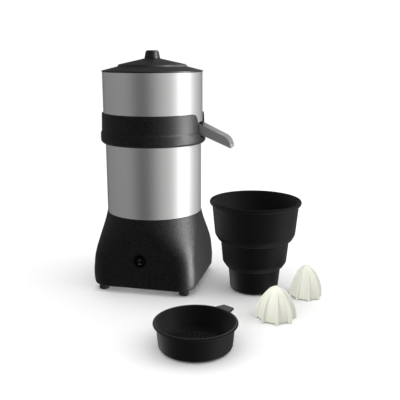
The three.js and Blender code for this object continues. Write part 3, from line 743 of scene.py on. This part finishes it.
def reamer(name, node, centre, radius, height, turn, depth):
    """Ridges that sweep from a pointed tip down to a scalloped skirt, over a hollow with a hub."""
    around, up = RIDGES * RIDGE_STEPS, 56
    scallop = 1.5  # how far the flutes' ends stand above the bench
    phases = [(i / RIDGE_STEPS) % 1.0 for i in range(around)]
    hollows = [flute(min(phase, 1 - phase) * 2) for phase in phases]
    rings = []  # of (reach, height) pairs, from the tip to the skirt and up inside
    for k in range(1, up + 1):
        share = (k / up) ** 1.15
        dome = radius * (1 - (1 - share) ** 2) ** 0.65
        deep = depth * min(1.0, 0.25 + share / 0.35)
        rings.append([(dome * (1 - deep * hollow), height * (1 - share) + scallop * hollow * share ** 8)
                      for hollow in hollows])
    rings.append([(0.94 * reach, 0.032 * height) for reach, _ in rings[-1]])
    roof, socket_roof = 0.6 * height, 0.58 * height
    inside = [(0.648 * radius, 0.048 * height), (0.567 * radius, 0.36 * height),
              (0.3402 * radius, 0.576 * height)]
    hub = [(10.0, roof), (10.0, 0.6), (9.4, 0.0), (6.6, 0.0), (6.4, 0.4), (6.4, socket_roof)]
    rings += [[point] * around for point in inside + hub]
    turns = [2 * math.pi * i / around + math.radians(turn) for i in range(around)]
    rings = [[(centre[0] + reach * math.cos(a), centre[1] + reach * math.sin(a), level)
              for a, (reach, level) in zip(turns, ring)] for ring in rings]
    solid = capped(rings, (*centre, height - 0.02), (*centre, socket_roof))
    make(name, *solid, IVORY, node, "ivory_plastic", [node], sharp=60)


reamer("orange_reamer", "reamer_large", (124.5, -20.5), radius=31.2, height=50.0, turn=11, depth=0.21)
reamer("lemon_reamer", "reamer_small", (161.5, 78.0), radius=26.5, height=52.5, turn=16, depth=0.17)

# ---------------------------------------------------------------- floor, world and lights
FLOOR = 30.0  # half its width, m
floor_mesh = bpy.data.meshes.new("bench")
floor_mesh.from_pydata([(-FLOOR, -FLOOR, 0), (FLOOR, -FLOOR, 0), (FLOOR, FLOOR, 0), (-FLOOR, FLOOR, 0)],
                       [], [(0, 1, 2, 3)])
bench = placed("bench", floor_mesh)
paper = Nodes("studio_paper")
paper_tone = paper.ramp(paper.noise(3.0, detail=2.0), [(0.3, 0.945), (0.7, 0.96)])
floor_mesh.materials.append(paper.finish(color=paper_tone, roughness=0.9, specular=0.1))
bench.visible_glossy = False

# Brightness of the surroundings in reflections, by direction in degrees from +X towards +Y.
PANELS = [(-180, 0.34), (-146, 0.36), (-133, 0.37), (-122, 0.30), (-112, 0.20), (-103, 0.135),
          (-96, 0.115), (-88, 0.15), (-78, 0.25), (-68, 0.40), (-59, 0.55), (-50, 0.63), (-40, 0.67),
          (-30, 0.72), (-22, 0.92), (-15, 1.3), (-9, 2.3), (14, 2.3), (22, 1.3), (32, 0.84), (42, 0.72),
          (58, 0.60), (74, 0.30), (88, 0.20), (97, 0.30), (108, 0.14), (134, 0.15), (150, 0.32)]
ROOM_LIGHT = 1.08


def studio_world():
    """Reflections see broad light and dark panels, as in a studio. All other rays see an even white."""
    world = bpy.data.worlds.new("studio")
    bpy.context.scene.world = world
    world.use_nodes = True
    tree = world.node_tree
    tree.nodes.clear()
    add, link = tree.nodes.new, tree.links.new
    coordinate = add("ShaderNodeTexCoord")
    split = add("ShaderNodeSeparateXYZ")
    link(coordinate.outputs["Generated"], split.inputs["Vector"])
    azimuth = add("ShaderNodeMath")
    azimuth.operation = "ARCTAN2"
    link(split.outputs["Y"], azimuth.inputs[0])
    link(split.outputs["X"], azimuth.inputs[1])
    turn = add("ShaderNodeMapRange")
    turn.inputs["From Min"].default_value = -math.pi
    turn.inputs["From Max"].default_value = math.pi
    link(azimuth.outputs["Value"], turn.inputs["Value"])
    panels = add("ShaderNodeValToRGB")
    set_stops(panels.color_ramp, [((degrees + 180) / 360, value) for degrees, value in PANELS])
    link(turn.outputs["Result"], panels.inputs["Fac"])
    shown = add("ShaderNodeBackground")
    shown.inputs["Color"].default_value = (1.0, 1.0, 1.0, 1.0)
    shown.inputs["Strength"].default_value = ROOM_LIGHT
    reflected = add("ShaderNodeBackground")
    link(panels.outputs["Color"], reflected.inputs["Color"])
    path = add("ShaderNodeLightPath")
    mix = add("ShaderNodeMixShader")
    link(path.outputs["Is Glossy Ray"], mix.inputs["Fac"])
    link(shown.outputs["Background"], mix.inputs[1])
    link(reflected.outputs["Background"], mix.inputs[2])
    link(mix.outputs["Shader"], add("ShaderNodeOutputWorld").inputs["Surface"])


studio_world()


def area_light(name, width, height, watts):
    data = bpy.data.lights.new(name, "AREA")
    data.shape = "RECTANGLE"
    data.size = width
    data.size_y = height
    data.energy = watts
    light = placed(name, data)
    light.visible_camera = False
    light.visible_glossy = False
    return light


def softbox(name, azimuth, elevation, distance, width, height, watts):
    """A light that looks at the middle of the set from this direction, in degrees."""
    light = area_light(name, width, height, watts)
    a, e = math.radians(azimuth), math.radians(elevation)
    target = Vector((-0.05, 0.05, 0.18))
    light.location = target + distance * Vector((math.cos(e) * math.cos(a), math.cos(e) * math.sin(a),
                                                 math.sin(e)))
    light.rotation_euler = (target - light.location).to_track_quat("-Z", "Y").to_euler()
    return light


def strip(name, location, faces, width, height, watts):
    """An upright light at this place that faces this direction, in degrees."""
    light = area_light(name, width, height, watts)
    light.location = location
    light.rotation_euler = (math.radians(90), 0, math.radians(faces - 90))
    return light


def gathered(name, pieces):
    collection = bpy.data.collections.new(name)
    for piece in pieces:
        collection.objects.link(bpy.data.objects[piece])
    return collection


def keep_to(light, pieces, shades=()):
    """The light falls on the pieces named and on nothing else; only they and the shades block it."""
    light.light_linking.receiver_collection = gathered(light.name + "_lit", pieces)
    light.light_linking.blocker_collection = gathered(light.name + "_shades", pieces + shades)


def glint(light, pieces, shades=()):
    """The light shows only as a soft reflection in the pieces named."""
    light.visible_glossy = True
    light.visible_diffuse = False
    keep_to(light, pieces, shades)


softbox("key_softbox", azimuth=2, elevation=30, distance=1.7, width=0.9, height=1.2, watts=5)
softbox("top_softbox", azimuth=60, elevation=78, distance=1.6, width=1.6, height=1.6, watts=3)
# The strip stands close and is turned so that the rear half of the base is behind it.
glint(strip("edge_softbox", (0.27, 0.05, 0.45), faces=246, width=0.26, height=1.1, watts=36),
      ("base_housing", "collar", "lid_cover", "knob"), shades=("spout_channel",))
glint(softbox("left_softbox", azimuth=168, elevation=-8, distance=2.5, width=2.6, height=3.2, watts=52),
      ("stepped_cup", "strainer_tub"))
glint(softbox("lid_softbox", azimuth=56, elevation=36, distance=2.5, width=1.6, height=1.4, watts=22),
      ("lid_cover", "knob"))
glint(softbox("strainer_softbox", azimuth=103, elevation=38, distance=2.5, width=2.6, height=1.6,
              watts=70), ("strainer_tub", "strainer_screen"))
keep_to(softbox("reamer_softbox", azimuth=-128, elevation=50, distance=1.5, width=0.4, height=0.4,
                watts=27), ("orange_reamer", "lemon_reamer"))

bpy.context.scene.view_settings.view_transform = "Standard"
